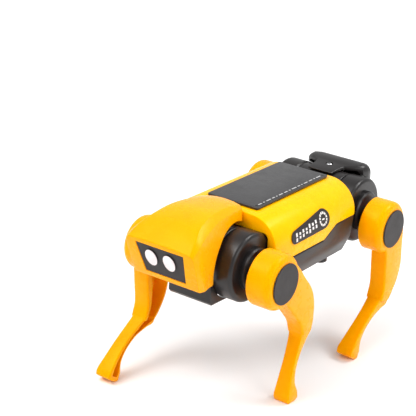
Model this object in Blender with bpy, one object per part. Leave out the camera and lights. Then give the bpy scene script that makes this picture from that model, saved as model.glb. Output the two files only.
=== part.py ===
"""Solar robot dog kit: yellow shell, black frame, crank-driven swinging legs.

Frame: the nose points to -Y, the dog's left side is +X, +Z is up. The origin
is on the floor, under the middle of the whole robot. Lengths below are in
millimetres, with y counted from the middle between the hips; the last step
moves everything over the origin.
"""
import bpy
import bmesh
import math
from mathutils import Vector

MM = 0.001

# ---- driving dimensions (mm) ----
HIP_Y = 56.0            # both axles sit this far from the middle
AXLE_Z = 74.7           # height of both crank axles
RUMP_SCREW_Y = 60.5
CRANK_E = 1.6           # throw of the crank pins
DRUM_Z = 78.8           # height of the hip drums
DRUM_R = 19.0
DRUM_IN = 15.0
DRUM_OUT = 27.4
STEP_R = 11.7
STEP_OUT = 30.4
AXLE_R = 2.0
AXLE_BORE = 2.45
DISC_R = 7.0
DISC_IN = 30.8
DISC_OUT = 32.8
PIN_R = 2.4
PIN_OUT = 43.6
SLEEVE_BORE = 2.75
SLEEVE_R = 4.5
FLANGE_R = 8.0
CUP_R = 15.3
CUP_IN = 33.9
CUP_OUT = 48.2
CUP_WALL = 1.9
BOSS_BORE = 4.85
BOSS_R = 6.8
CAP_R = 11.2
CAP_T = 0.7
LEG_IN = 37.8           # inner face of thigh and shank
SOLE_Z = -76.3          # sole below the shoulder, leg upright
HEEL_Y = 20.0
HEEL_FACET = 2.6
DRUM_ROUND = 2.4
CUP_ROUND = 4.1
SHAFT_HOLE = 2.6           # clearance for the motor shaft
ARCH_R = 21.6              # the head's cut-out round the drums
FRAME_R = 18.6             # hip frame, round part
FRAME_FLAT = 19.0          # hip frame, from axle to its flat end
FRAME_HALF = 14.6
FRAME_WALL = 2.2
MOUTH_ROUND = 3.0
POST_R = 2.5               # screw posts inside the shell
PILOT_R = 1.1              # screw holes
SWING_DEG = 36.76       # the swung pair of legs at rest

SHELL_Y0 = -44.0
SHELL_Y1 = 36.0
SHELL_TOP = 102.6
SHELL_FLAT = 16.5
SHELL_RAD = 17.0
SHELL_WALL = 2.0
MOUTH_HALF = 28.2       # opening in the shell's front end
MOUTH_TOP = 94.3
EDGE_LOW = 77.6
EDGE_HIGH = 83.6
EDGE_Y0 = 5.0
EDGE_Y1 = 17.0
GAP = 0.3
TRAY_Y = 36.7           # the tray ends this far from the middle, both ways
SCREW_X = 18.0          # belly screws and shell posts
SCREW_Y = 28.0
BOSS_LOW = 53.2

PANEL_W = 33.0
PANEL_Y0 = -38.0
PANEL_Y1 = 32.0
PANEL_T = 1.3

WORM_Z = 87.3
WORM_R = 3.8
WORM_PITCH = 2.6
WORM_TURNS = 4
WORM_THREAD = 1.3
WHEEL_R = 8.2
SHAFT_R = 1.0
MOTOR_R = 10.0
MOTOR_Y0 = -13.0
MOTOR_Y1 = 13.0

YELLOW = (1.0, 0.50, 0.0)
BLACK = (0.035, 0.03, 0.03)
DARK = (0.06, 0.055, 0.055)
METAL = (0.62, 0.62, 0.64)
CREAM = (0.85, 0.85, 0.82)


def clear_scene():
    for obj in list(bpy.data.objects):
        bpy.data.objects.remove(obj, do_unlink=True)


def make_material(name, colour, rough, metal=0.0):
    mat = bpy.data.materials.new(name)
    mat.use_nodes = True
    shader = mat.node_tree.nodes["Principled BSDF"]
    shader.inputs["Base Color"].default_value = (colour[0], colour[1], colour[2], 1.0)
    shader.inputs["Roughness"].default_value = rough
    shader.inputs["Metallic"].default_value = metal
    mat.diffuse_color = (colour[0], colour[1], colour[2], 1.0)
    return mat


def finish(name, bm, colour, rough, metal=0.0, origin=(0, 0, 0), smooth=None):
    """Turn a bmesh in world millimetres into an object with the given origin."""
    bmesh.ops.recalc_face_normals(bm, faces=bm.faces)
    shift = Vector(origin)
    for vert in bm.verts:
        vert.co = (vert.co - shift) * MM
    mesh = bpy.data.meshes.new(name)
    bm.to_mesh(mesh)
    bm.free()
    obj = bpy.data.objects.new(name, mesh)
    obj.location = shift * MM
    bpy.context.scene.collection.objects.link(obj)
    obj.data.materials.append(make_material(name, colour, rough, metal))
    if smooth is not None:
        mesh.shade_smooth()
        mesh.set_sharp_from_angle(angle=math.radians(smooth))
    return obj


def add_rings(bm, rings):
    """Skin a list of equal-length closed rings and close both ends."""
    loops = []
    for ring in rings:
        loops.append([bm.verts.new(point) for point in ring])
    count = len(loops[0])
    for first, second in zip(loops[:-1], loops[1:]):
        for i in range(count):
            j = (i + 1) % count
            bm.faces.new((first[i], first[j], second[j], second[i]))
    bm.faces.new(list(reversed(loops[0])))
    bm.faces.new(loops[-1])


def prism_x(outline, x0, x1):
    """Extrude a (y, z) outline from x0 to x1."""
    bm = bmesh.new()
    add_rings(bm, [[(x0, y, z) for y, z in outline], [(x1, y, z) for y, z in outline]])
    return bm


def prism_y(outline, y0, y1):
    """Extrude an (x, z) outline from y0 to y1."""
    bm = bmesh.new()
    add_rings(bm, [[(x, y0, z) for x, z in outline], [(x, y1, z) for x, z in outline]])
    return bm


def prism_z(outline, z0, z1):
    """Extrude an (x, y) outline from z0 to z1."""
    bm = bmesh.new()
    add_rings(bm, [[(x, y, z0) for x, y in outline], [(x, y, z1) for x, y in outline]])
    return bm


def arc_pts(cu, cv, radius, a0, a1, count):
    points = []
    for i in range(count + 1):
        angle = math.radians(a0 + (a1 - a0) * i / count)
        points.append((cu + radius * math.cos(angle), cv + radius * math.sin(angle)))
    return points


def turned(profile, centre, count, axis="X"):
    """Closed turned solid: profile is a list of (station, radius) with r > 0."""
    bm = bmesh.new()
    rings = []
    for station, radius in profile:
        ring = []
        for i in range(count):
            angle = 2.0 * math.pi * i / count
            u = radius * math.cos(angle)
            v = radius * math.sin(angle)
            if axis == "X":
                ring.append((station, centre[1] + u, centre[2] + v))
            elif axis == "Y":
                ring.append((centre[0] + u, station, centre[2] + v))
            else:
                ring.append((centre[0] + u, centre[1] + v, station))
        rings.append(ring)
    add_rings(bm, rings)
    return bm


def pipe_turned(profile, centre, count, axis="X"):
    """Turned ring: the profile is a closed loop of (station, radius)."""
    bm = bmesh.new()
    loops = []
    for i in range(count):
        angle = 2.0 * math.pi * i / count
        loop = []
        for station, radius in profile:
            u = radius * math.cos(angle)
            v = radius * math.sin(angle)
            if axis == "X":
                loop.append(bm.verts.new((station, centre[1] + u, centre[2] + v)))
            else:
                loop.append(bm.verts.new((centre[0] + u, station, centre[2] + v)))
        loops.append(loop)
    size = len(profile)
    for i in range(count):
        first = loops[i]
        second = loops[(i + 1) % count]
        for k in range(size):
            m = (k + 1) % size
            bm.faces.new((first[k], first[m], second[m], second[k]))
    return bm


def bridge_closed(bm, loops):
    """Skin loops of vertices one after another, the last back to the first."""
    for k, first in enumerate(loops):
        second = loops[(k + 1) % len(loops)]
        for i in range(len(first)):
            j = (i + 1) % len(first)
            bm.faces.new((first[i], first[j], second[j], second[i]))


def cutter(name, bm):
    bmesh.ops.recalc_face_normals(bm, faces=bm.faces)
    for vert in bm.verts:
        vert.co = vert.co * MM
    mesh = bpy.data.meshes.new(name)
    bm.to_mesh(mesh)
    bm.free()
    obj = bpy.data.objects.new(name, mesh)
    obj.hide_render = True
    obj.display_type = "WIRE"
    bpy.context.scene.collection.objects.link(obj)
    return obj


def boolean(obj, tool, operation="DIFFERENCE"):
    mod = obj.modifiers.new("cut_" + tool.name, "BOOLEAN")
    mod.operation = operation
    mod.solver = "EXACT"
    mod.object = tool


def round_edges(obj, width, segments=2, angle=40.0):
    mod = obj.modifiers.new("edges", "BEVEL")
    mod.width = width * MM
    mod.segments = segments
    mod.limit_method = "ANGLE"
    mod.angle_limit = math.radians(angle)
    mod.harden_normals = False


def edge_height(y):
    """Height of the shell's stepped lower edge."""
    if y <= EDGE_Y0:
        return EDGE_LOW
    if y >= EDGE_Y1:
        return EDGE_HIGH
    return EDGE_LOW + (EDGE_HIGH - EDGE_LOW) * (y - EDGE_Y0) / (EDGE_Y1 - EDGE_Y0)


def screw_places():
    return [(side * SCREW_X, sign * SCREW_Y) for sign in (-1, 1) for side in (1, -1)]


def shell_section(inset, low, steps=10):
    """Half-open body section: flat top, quarter arcs, straight sides."""
    radius = SHELL_RAD - inset
    centre_z = SHELL_TOP - SHELL_RAD
    right = arc_pts(SHELL_FLAT, centre_z, radius, 0.0, 90.0, steps)
    left = [(-x, z) for x, z in reversed(right)]
    return [(right[0][0], low)] + right + left + [(left[-1][0], low)]


def make_top_shell():
    bm = bmesh.new()
    rings = []
    for y in (SHELL_Y0, EDGE_Y0, EDGE_Y1, SHELL_Y1):
        rings.append([(x, y, z) for x, z in shell_section(0.0, edge_height(y))])
    add_rings(bm, rings)
    obj = finish("top_shell", bm, YELLOW, 0.35, smooth=35)
    round_edges(obj, 0.5, 2, 50)
    inner = cutter("shell_core", prism_y(shell_section(SHELL_WALL, 60.0), -41.0, 34.0))
    arch = arc_pts(MOUTH_HALF - MOUTH_ROUND, MOUTH_TOP - MOUTH_ROUND, MOUTH_ROUND, 0.0, 90.0, 4)
    arch = [(MOUTH_HALF, 60.0)] + arch
    arch += [(-x, z) for x, z in reversed(arch)]
    mouth = cutter("shell_mouth", prism_y(arch, -50.0, -40.9))
    boolean(obj, inner)
    boolean(obj, mouth)
    hole = cutter("shell_shaft_hole", turned([(30.0, SHAFT_HOLE), (40.0, SHAFT_HOLE)], (0, 0, WORM_Z), 24, "Y"))
    boolean(obj, hole)
    wire_hole = turned([(95.0, 2.6), (110.0, 2.6)], (-6.5, 24.0, 0), 16, "Z")
    boolean(obj, cutter("shell_wire_hole", wire_hole))
    for i, (x, y) in enumerate(screw_places()):
        post = turned([(58.8, POST_R), (101.2, POST_R)], (x, y, 0), 12, "Z")
        boolean(obj, cutter("shell_post_%d" % i, post), "UNION")
        pilot = turned([(50.0, PILOT_R), (67.0, PILOT_R)], (x, y, 0), 8, "Z")
        boolean(obj, cutter("shell_pilot_%d" % i, pilot))
    return obj


def tray_section(y, inset):
    top = edge_height(y) - GAP
    half = [(33.2 - inset, top), (31.8 - inset, 70.0), (27.6 - inset, 60.6 + inset),
            (22.0 - inset, 56.4 + inset)]
    return half + [(-x, z) for x, z in reversed(half)]


def make_belly_tray():
    bm = bmesh.new()
    rings = []
    for y in (-TRAY_Y, EDGE_Y0, EDGE_Y1, TRAY_Y):
        rings.append([(x, y, z) for x, z in tray_section(y, 0.0)])
    add_rings(bm, rings)
    obj = finish("belly_tray", bm, BLACK, 0.5, smooth=35)
    round_edges(obj, 1.2, 2, 30)
    core = bmesh.new()
    rings = []
    for y in (-TRAY_Y + 2.0, TRAY_Y - 2.0):
        half = [(31.0, 95.0), (31.0, 76.5), (29.6, 70.3), (25.6, 61.7), (21.0, 58.4)]
        rings.append([(x, y, z) for x, z in half + [(-x, z) for x, z in reversed(half)]])
    add_rings(core, rings)
    boolean(obj, cutter("tray_core", core))
    slot = prism_y([(-6, 70), (6, 70), (6, 99), (-6, 99)], -40.0, 40.0)
    boolean(obj, cutter("tray_end_slots", slot))
    for i, (x, y) in enumerate(screw_places()):
        boss = turned([(BOSS_LOW, 3.6), (BOSS_LOW + 0.6, 4.2), (58.0, 4.2)], (x, y, 0), 16, "Z")
        boolean(obj, cutter("tray_boss_%d" % i, boss), "UNION")
        well = turned([(50.0, 2.5), (BOSS_LOW + 2.0, 2.5)], (x, y, 0), 12, "Z")
        boolean(obj, cutter("tray_screw_well_%d" % i, well))
        hole = turned([(52.0, PILOT_R), (60.0, PILOT_R)], (x, y, 0), 8, "Z")
        boolean(obj, cutter("tray_screw_hole_%d" % i, hole))
    return obj


# Head stations: y, half width and height of the lower edge, half width and height
# of the side, half width and height of the crease, crown rise, chamfer, share of lean.
HEAD = ((-44.6, 11.8, 90.0, 12.0, 98.0, 11.4, 105.8, 1.5, 1.5, 0.0),
        (-51.0, 13.0, 90.0, 13.6, 98.0, 12.6, 107.4, 1.6, 2.0, 0.0),
        (-60.0, 14.6, 80.0, 15.6, 97.0, 13.8, 108.6, 1.6, 2.6, 0.0),
        (-74.0, 17.4, 73.5, 18.2, 93.0, 16.0, 109.0, 1.6, 3.2, 0.0),
        (-86.0, 20.0, 74.2, 20.8, 92.0, 18.4, 106.6, 1.4, 3.4, 0.3),
        (-94.0, 21.4, 74.6, 22.0, 93.0, 20.6, 102.6, 1.2, 2.6, 0.65),
        (-100.8, 21.0, 75.0, 21.8, 92.0, 21.2, 97.4, 0.8, 1.2, 1.0))
HEAD_WALL = 1.9
FACE_WALL = 3.0
FACE_Y = -100.8
FACE_Z = 97.4
FACE_SLOPE = 0.38
PLATE_Z = 86.8
PLATE_TOP = 15.0
PLATE_LOW = 12.6
PLATE_HALF = 9.2
EYE_X = 5.75
EYE_UP = 2.3
EYE_HALF_W = 3.3
EYE_HALF_H = 4.4
CHIN_CLEAR = 19.4
CHIN_LEFT = 16.0
CHIN_RIGHT = -11.0


def head_ring(station, inset=0.0, drop=0.0, push=0.0):
    """One section of the hood, leaning back below the brow."""
    y, wb, zb, ws, zs, wt, zc, rise, bevel, share = station
    wb, ws, wt, zc = wb - inset, ws - inset, wt - inset, zc - inset
    side = wt + (ws - wt) * bevel / (zc - zs)
    half = [(wb, zb - drop), (ws, zs), (side, zc - bevel),
            (wt - bevel, zc + 1.5 * rise * bevel / wt), (0.5 * wt, zc + 0.8 * rise)]
    ring = half + [(0.0, zc + rise)] + [(-x, z) for x, z in reversed(half)]
    return [(x, y + push + share * FACE_SLOPE * max(0.0, FACE_Z - z), z) for x, z in ring]


def make_head_shell():
    bm = bmesh.new()
    add_rings(bm, [head_ring(station) for station in HEAD])
    obj = finish("head_shell", bm, YELLOW, 0.35, smooth=28)
    round_edges(obj, 0.7, 1, 32)
    core = bmesh.new()
    rings = [head_ring(HEAD[0], HEAD_WALL, 12.0, 4.0)]
    rings += [head_ring(station, HEAD_WALL, 12.0) for station in HEAD[1:-2]]
    rings.append(head_ring(HEAD[-1], HEAD_WALL + 0.6, 12.0, FACE_WALL))
    add_rings(core, rings)
    boolean(obj, cutter("head_core", core))
    arch = turned([(-40.0, ARCH_R), (40.0, ARCH_R)], (0, -HIP_Y, DRUM_Z), 48, "X")
    boolean(obj, cutter("head_arch", arch))
    recess = face_prism(PLATE_TOP + 0.35, PLATE_LOW + 0.35, PLATE_HALF + 0.3, -4.0, 1.5)
    boolean(obj, cutter("face_recess", recess))
    return obj


def face_frame():
    """Origin and in-plane axes of the leaning face, at the plate's centre."""
    angle = math.atan(FACE_SLOPE)
    centre = Vector((0.0, FACE_Y + (FACE_Z - PLATE_Z) * FACE_SLOPE, PLATE_Z))
    up = Vector((0.0, -math.sin(angle), math.cos(angle)))
    inward = Vector((0.0, math.cos(angle), math.sin(angle)))
    return centre, up, inward


def face_prism(half_top, half_low, half_height, depth0, depth1):
    """Trapezoid block in the leaning face plane; depth is positive inward."""
    centre, up, inward = face_frame()
    corners = ((half_top, half_height), (-half_top, half_height),
               (-half_low, -half_height), (half_low, -half_height))
    bm = bmesh.new()
    add_rings(bm, [[centre + Vector((u, 0, 0)) + up * v + inward * depth for u, v in corners]
                   for depth in (depth0, depth1)])
    return bm


def make_face_plate():
    bm = face_prism(PLATE_TOP, PLATE_LOW, PLATE_HALF, 0.25, 1.2)
    return finish("face_plate", bm, DARK, 0.5)


def make_eye(name, side):
    centre, up, inward = face_frame()
    rings = []
    for depth, grow in ((-0.05, 0.92), (-0.45, 1.0), (-0.7, 0.9)):
        ring = []
        for i in range(28):
            angle = 2.0 * math.pi * i / 28
            u = side * EYE_X + EYE_HALF_W * grow * math.cos(angle)
            v = EYE_UP + EYE_HALF_H * grow * math.sin(angle)
            ring.append(centre + Vector((u, 0, 0)) + up * v + inward * depth)
        rings.append(ring)
    bm = bmesh.new()
    add_rings(bm, rings)
    return finish(name, bm, (0.85, 0.78, 0.78), 0.35, smooth=60)


def make_chin_plate():
    """Block under the head, hollowed to clear the hip frame behind it."""
    outline = [(-76.2, 73.0), (-76.2, 62.0), (-74.6, 60.2), (-61.0, 59.8)]
    outline += arc_pts(-HIP_Y, DRUM_Z, CHIN_CLEAR, -106.5, -162.6, 6)
    obj = finish("chin_plate", prism_x(outline, CHIN_RIGHT, CHIN_LEFT), BLACK, 0.5, smooth=30)
    round_edges(obj, 1.0, 1, 40)
    return obj


def frame_outline(sign, inset):
    """Side outline of a hip frame: round around the drum, square to the belly."""
    radius = FRAME_R - inset
    points = []
    for i in range(17):
        angle = math.radians(-98.0 - (360.0 - 150.0) * i / 16)
        points.append((radius * math.cos(angle), DRUM_Z + radius * math.sin(angle)))
    flat = FRAME_FLAT - inset
    points.append((flat, 92.6 - inset))
    points.append((flat, 62.4 + inset))
    return [(sign * (HIP_Y - y), z) for y, z in points]


def make_hip_frame(name, sign):
    """sign -1 is the front frame, +1 the rear one; both open to the belly."""
    obj = finish(name, prism_x(frame_outline(sign, 0.0), -FRAME_HALF, FRAME_HALF), BLACK, 0.5, smooth=30)
    round_edges(obj, 0.6, 1, 50)
    boolean(obj, cutter(name + "_core", prism_x(frame_outline(sign, FRAME_WALL),
                                               -FRAME_HALF + FRAME_WALL, FRAME_HALF - FRAME_WALL)))
    y = sign * HIP_Y
    bore = turned([(-20.0, AXLE_BORE), (20.0, AXLE_BORE)], (0, y, AXLE_Z), 24, "X")
    boolean(obj, cutter(name + "_bore", bore))
    y_in = sign * 30.0
    hole = turned([(min(y, y_in), SHAFT_HOLE), (max(y, y_in), SHAFT_HOLE)],
                  (0, 0, WORM_Z), 24, "Y")
    boolean(obj, cutter(name + "_shaft_hole", hole))
    if sign > 0:
        screw_hole = turned([(90.0, PILOT_R), (100.0, PILOT_R)], (0, RUMP_SCREW_Y, 0), 12, "Z")
        boolean(obj, cutter(name + "_screw_hole", screw_hole))
    return obj


def make_drum(name, side, sign):
    y = sign * HIP_Y
    profile = [(DRUM_IN, DRUM_R - 1.0), (DRUM_IN + 1.0, DRUM_R), (DRUM_OUT - DRUM_ROUND, DRUM_R)]
    for i in range(1, 4):
        angle = math.radians(90.0 * i / 3)
        profile.append((DRUM_OUT - DRUM_ROUND + DRUM_ROUND * math.sin(angle),
                        DRUM_R - DRUM_ROUND + DRUM_ROUND * math.cos(angle)))
    profile.append((DRUM_OUT, STEP_R))
    profile.append((STEP_OUT - 0.8, STEP_R))
    profile.append((STEP_OUT, STEP_R - 0.8))
    profile = [(side * x, r) for x, r in profile]
    obj = finish(name, turned(profile, (0, y, DRUM_Z), 36), BLACK, 0.45,
                 origin=(0, y, DRUM_Z), smooth=35)
    bore = turned([(side * 10.0, AXLE_BORE), (side * 40.0, AXLE_BORE)], (0, y, AXLE_Z), 16)
    boolean(obj, cutter(name + "_bore", bore))
    return obj


def make_axle(name, sign):
    y = sign * HIP_Y
    bm = turned([(-32.0, AXLE_R - 0.4), (-31.6, AXLE_R), (31.6, AXLE_R), (32.0, AXLE_R - 0.4)],
                (0, y, AXLE_Z), 20)
    return finish(name, bm, METAL, 0.25, 1.0, origin=(0, y, AXLE_Z), smooth=40)


def make_crank(name, side, sign, lift):
    """Crank disc with a blind bore for the axle and an offset pin outside."""
    y = sign * HIP_Y
    pin_z = AXLE_Z + lift
    profile = [(side * DISC_IN, DISC_R), (side * (DISC_OUT - 0.5), DISC_R),
               (side * DISC_OUT, DISC_R - 0.5)]
    obj = finish(name, turned(profile, (0, y, AXLE_Z), 24), BLACK, 0.4,
                 origin=(0, y, AXLE_Z), smooth=40)
    pin = turned([(side * (DISC_OUT - 0.6), PIN_R), (side * (PIN_OUT - 0.4), PIN_R),
                  (side * PIN_OUT, PIN_R - 0.4)], (0, y, pin_z), 16)
    boolean(obj, cutter(name + "_pin", pin), "UNION")
    bore = turned([(side * 25.0, AXLE_R + 0.05), (side * 32.25, AXLE_R + 0.05)],
                  (0, y, AXLE_Z), 20)
    boolean(obj, cutter(name + "_axle_bore", bore))
    tap = turned([(side * 36.0, 1.3), (side * 50.0, 1.3)], (0, y, pin_z), 10)
    boolean(obj, cutter(name + "_tap", tap))
    return obj


def make_carrier(name, side, sign, lift):
    """Flanged sleeve that rides on the crank pin and carries the leg."""
    y = sign * HIP_Y
    z = AXLE_Z + lift
    profile = [(33.2, SLEEVE_BORE), (33.2, FLANGE_R), (34.6, FLANGE_R), (34.6, SLEEVE_R),
               (43.3, SLEEVE_R), (43.3, SLEEVE_BORE)]
    bm = pipe_turned([(side * x, r) for x, r in profile], (0, y, z), 20)
    return finish(name, bm, (0.75, 0.74, 0.70), 0.4, origin=(0, y, z), smooth=40)


THIGH = ((-2.0, -9.0), (4.6, -14.2), (11.6, -21.8), (19.2, -30.4), (21.6, -36.2), (22.8, -38.6),
         (26.6, -38.2), (31.2, -34.8), (31.8, -24.6), (30.4, -17.2), (27.2, -10.8), (20.4, -3.0),
         (13.4, 5.2), (6.0, 10.0))
THIGH_HOLLOW = ((8.6, -12.4), (14.6, -19.0), (20.6, -27.4), (23.0, -33.0), (24.0, -36.2), (26.6, -36.0),
                (29.3, -33.4), (29.8, -24.8), (28.4, -18.2), (25.6, -12.4), (18.8, -4.8), (14.8, -1.4))
# Shank stations: front (y, z), rear (y, z), inner and outer x.
SHANK = (((20.0, -30.0), (30.4, -30.0), 38.8, 47.2), ((22.0, -37.6), (32.4, -36.8), 38.8, 47.2),
         ((20.6, -43.0), (28.2, -41.6), 39.2, 47.2), ((17.8, -50.6), (22.9, -48.8), 39.6, 47.2),
         ((15.2, -58.6), (19.6, -57.4), 39.4, 47.2), ((13.6, -65.6), (19.0, -64.8), 38.8, 47.5),
         ((12.5, -71.8), (21.2, -70.4), 38.0, 48.0))
SHANK_HOLLOW = (((24.0, -34.0), (28.6, -33.0)), ((23.8, -38.2), (30.0, -36.6)),
                ((22.3, -43.0), (26.4, -41.6)), ((19.4, -50.6), (21.3, -48.8)),
                ((16.8, -58.6), (18.1, -57.4)), ((15.2, -65.6), (17.5, -64.8)),
                ((14.5, -71.0), (19.2, -70.4)), ((15.0, -73.8), (19.4, -73.4)))
HOLLOW_OUT = 45.8


def shank_ring(side, front, rear, x_in, x_out):
    return [(side * x_in, front[0], front[1]), (side * x_out, front[0], front[1]),
            (side * x_out, rear[0], rear[1]), (side * x_in, rear[0], rear[1])]


def shank_solid(side):
    """Shank and foot; the heel has a facet that is level when the leg is swung."""
    swing = math.radians(SWING_DEG)
    heel = (HEEL_Y + HEEL_FACET * math.cos(swing), SOLE_Z + HEEL_FACET * math.sin(swing))
    rings = [shank_ring(side, *station) for station in SHANK]
    rings.append(shank_ring(side, (12.4, -73.6), heel, 37.9, 48.0))
    rings.append(shank_ring(side, (13.2, SOLE_Z), (HEEL_Y, SOLE_Z), 38.1, 47.8))
    bm = bmesh.new()
    add_rings(bm, rings)
    return bm


def shank_hollow(side):
    bm = bmesh.new()
    add_rings(bm, [shank_ring(side, front, rear, 30.0, HOLLOW_OUT) for front, rear in SHANK_HOLLOW])
    return bm


def cup_solid(side):
    profile = [(CUP_IN, CUP_R - 0.5), (CUP_IN + 0.5, CUP_R), (CUP_OUT - CUP_ROUND, CUP_R)]
    for i in range(1, 4):
        angle = math.radians(90.0 * i / 3)
        profile.append((CUP_OUT - CUP_ROUND + CUP_ROUND * math.sin(angle),
                        CUP_R - CUP_ROUND + CUP_ROUND * math.cos(angle)))
    return turned([(side * x, r) for x, r in profile], (0, 0, 0), 36)


def make_leg(name, side, sign, lift, angle):
    """The four legs are one moulding and its mirror image."""
    obj = finish(name, cup_solid(side), YELLOW, 0.35, smooth=32)
    thigh = cutter(name + "_thigh", prism_x(THIGH, side * LEG_IN, side * CUP_OUT))
    round_edges(thigh, 1.3, 1, 40)
    boolean(obj, thigh, "UNION")
    shank = cutter(name + "_shank", shank_solid(side))
    round_edges(shank, 0.8, 1, 40)
    boolean(obj, shank, "UNION")
    floor_x = CUP_OUT - CUP_WALL
    cup = pipe_turned([(side * 30.0, BOSS_R), (side * 30.0, CUP_R - CUP_WALL),
                       (side * floor_x, CUP_R - CUP_WALL - 1.2), (side * floor_x, BOSS_R)], (0, 0, 0), 36)
    boolean(obj, cutter(name + "_cup_hollow", cup))
    face = turned([(side * 30.0, BOSS_R + 0.4), (side * 35.2, BOSS_R + 0.4)], (0, 0, 0), 36)
    boolean(obj, cutter(name + "_boss_face", face))
    bore = turned([(side * 30.0, BOSS_BORE), (side * 60.0, BOSS_BORE)], (0, 0, 0), 24)
    boolean(obj, cutter(name + "_bore", bore))
    boolean(obj, cutter(name + "_thigh_hollow", prism_x(THIGH_HOLLOW, side * 30.0, side * floor_x)))
    boolean(obj, cutter(name + "_shank_hollow", shank_hollow(side)))
    for thing in [obj] + [mod.object for mod in obj.modifiers if mod.type == "BOOLEAN"]:
        thing.location = (0.0, sign * HIP_Y * MM, (AXLE_Z + lift) * MM)
        thing.rotation_euler = (math.radians(angle), 0.0, 0.0)
    return obj


def make_leg_cap(name, side, sign, lift):
    y = sign * HIP_Y
    z = AXLE_Z + lift
    x0 = CUP_OUT + 0.02 + GAP
    bm = turned([(side * x0, CAP_R), (side * (x0 + CAP_T - 0.2), CAP_R),
                 (side * (x0 + CAP_T), CAP_R - 0.2)], (0, y, z), 36)
    return finish(name, bm, DARK, 0.55, origin=(0, y, z), smooth=40)


def make_leg_screw(name, side, sign, lift):
    """Pan-head screw that keeps the leg on its crank pin."""
    y = sign * HIP_Y
    z = AXLE_Z + lift
    profile = [(37.0, 0.8), (37.6, 1.0), (43.9, 1.0), (43.9, 4.2), (44.7, 4.2), (45.5, 3.2)]
    obj = finish(name, turned([(side * x, r) for x, r in profile], (0, y, z), 14),
                 METAL, 0.3, 1.0, origin=(0, y, z), smooth=40)
    for i, (a, b) in enumerate(((2.2, 0.45), (0.45, 2.2))):
        slot = prism_x([(y - a, z - b), (y + a, z - b), (y + a, z + b), (y - a, z + b)],
                       side * 44.9, side * 47.0)
        boolean(obj, cutter("%s_slot_%d" % (name, i), slot))
    return obj


def rounded_rect(half_u, half_v, radius, steps=4):
    points = []
    for cu, cv, a0 in ((half_u - radius, half_v - radius, 0.0), (-half_u + radius, half_v - radius, 90.0),
                       (-half_u + radius, -half_v + radius, 180.0),
                       (half_u - radius, -half_v + radius, 270.0)):
        points += arc_pts(cu, cv, radius, a0, a0 + 90.0, steps)
    return points


def make_solar_panel():
    mid = 0.5 * (PANEL_Y0 + PANEL_Y1)
    half_y = 0.5 * (PANEL_Y1 - PANEL_Y0)
    outline = [(x, mid + y) for x, y in rounded_rect(0.5 * PANEL_W, half_y, 1.0, 3)]
    z0 = SHELL_TOP + GAP
    obj = finish("solar_panel", prism_z(outline, z0, z0 + PANEL_T), (0.05, 0.055, 0.06), 0.15, smooth=40)
    round_edges(obj, 0.25, 2, 60)
    groove = prism_z([(13.4, PANEL_Y0 + 2.2), (15.0, PANEL_Y0 + 2.2), (15.0, PANEL_Y1 - 2.2),
                      (13.4, PANEL_Y1 - 2.2)], z0 + PANEL_T - 0.35, z0 + PANEL_T + 2.0)
    boolean(obj, cutter("panel_groove", groove))
    return obj


def make_bus_strip():
    z0 = SHELL_TOP + GAP + PANEL_T - 0.32
    bm = prism_z([(13.6, PANEL_Y0 + 2.5), (14.8, PANEL_Y0 + 2.5), (14.8, PANEL_Y1 - 2.5),
                  (13.6, PANEL_Y1 - 2.5)], z0, z0 + 0.36)
    return finish("solar_bus_strip", bm, (0.7, 0.7, 0.72), 0.3, 1.0)


def make_side_label(name, side):
    """Curved label that lies on the shell's side arc."""
    centre_z = SHELL_TOP - SHELL_RAD
    inner = []
    outer = []
    for i in range(9):
        angle = math.radians(-10.0 + 54.0 * i / 8)
        for ring, radius in ((inner, SHELL_RAD + 0.3), (outer, SHELL_RAD + 0.75)):
            if angle < 0.0:
                ring.append((side * (SHELL_FLAT + radius), centre_z + SHELL_RAD * angle))
            else:
                ring.append((side * (SHELL_FLAT + radius * math.cos(angle)),
                             centre_z + radius * math.sin(angle)))
    outline = inner + list(reversed(outer))
    obj = finish(name, prism_y(outline, -34.0, 14.0), DARK, 0.5, smooth=40)
    trim = cutter(name + "_trim", prism_x(label_trim(), side * 20.0, side * 40.0))
    boolean(obj, trim, "INTERSECT")
    return obj


def label_trim():
    """Long drop outline, small at the front and large at the rear, in (y, z)."""
    return arc_pts(-25.6, 88.4, 3.6, 94.0, 262.0, 8) + arc_pts(3.0, 90.6, 5.4, -94.0, 94.0, 12)


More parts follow.
